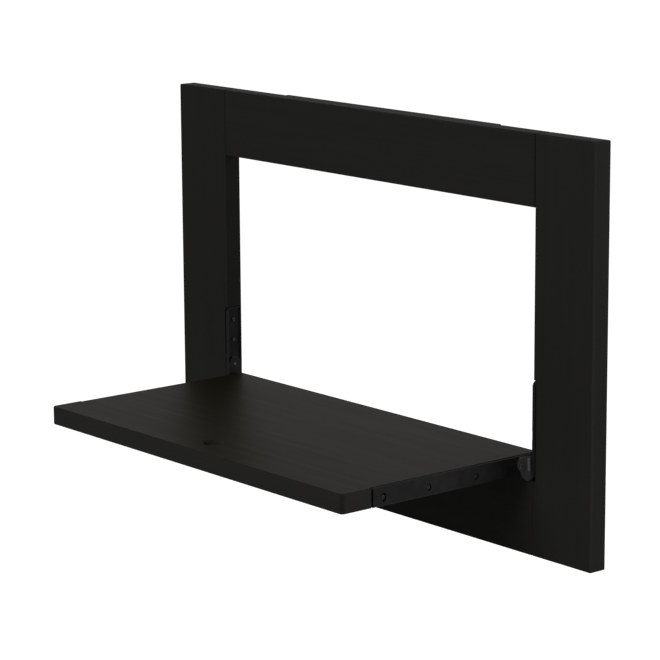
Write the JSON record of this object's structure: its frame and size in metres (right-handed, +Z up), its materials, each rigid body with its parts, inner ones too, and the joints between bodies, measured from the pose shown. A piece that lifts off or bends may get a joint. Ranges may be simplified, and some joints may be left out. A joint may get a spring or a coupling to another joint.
{
  "type": "fold down wall desk",
  "caption": "Wall-hung wooden frame with an open middle, and a desk leaf that folds down from it on steel side brackets and folds up flush into the opening.",
  "frame": {"origin": "on the wall plane, midway between the two screw holes of the wall rail", "axes": "+X along the frame's width, +Y into the wall, +Z up"},
  "size_m": [0.9, 0.3665, 0.577],
  "materials": {
    "frame_wood": "black stained pine, satin lacquer",
    "leaf_wood": "black stained pine, satin lacquer",
    "rail_wood": "black stained pine, matt",
    "dowel_wood": "plain fluted beech",
    "bracket_steel": "black powder coat, satin",
    "plate_steel": "black passivated steel, semi-gloss",
    "ear_steel": "dark grey passivated steel, satin",
    "pin_steel": "black zinc plate, worn",
    "screw_steel": "black zinc plate",
    "washer_plastic": "black nylon",
    "bumper_rubber": "black rubber"
  },
  "bodies": {
    "frame": {"top_rail": "frame_wood", "bottom_rail": "frame_wood", "right_stile": "frame_wood", "left_stile": "frame_wood", "frame_dowels": "dowel_wood", "hanging_rail": "rail_wood", "hanging_rail_screws": "screw_steel", "wall_rail": "rail_wood", "wall_bumpers": "bumper_rubber", "right_stile_channel": "bracket_steel", "left_stile_channel": "bracket_steel", "right_pivot_plate": "plate_steel", "left_pivot_plate": "plate_steel", "right_eye_rivet": "pin_steel", "left_eye_rivet": "pin_steel", "right_pivot_pin": "pin_steel", "left_pivot_pin": "pin_steel", "right_pivot_washer": "washer_plastic", "left_pivot_washer": "washer_plastic", "right_stop_pin": "pin_steel", "left_stop_pin": "pin_steel", "right_bracket_screws": "screw_steel", "left_bracket_screws": "screw_steel"},
    "desk": {"desk_leaf": "leaf_wood", "right_leaf_arm": "bracket_steel", "left_leaf_arm": "bracket_steel", "right_arm_ear": "ear_steel", "left_arm_ear": "ear_steel", "right_ear_rivet": "pin_steel", "left_ear_rivet": "pin_steel", "right_arm_screws": "screw_steel", "left_arm_screws": "screw_steel"}
  },
  "joints": [
    {"name": "desk_fold", "type": "hinge", "parent": "frame", "child": "desk", "pos_m": [0, -0.0249, -0.3859], "axis": [-1, 0, 0], "range_deg": [0, 90]}
  ]
}
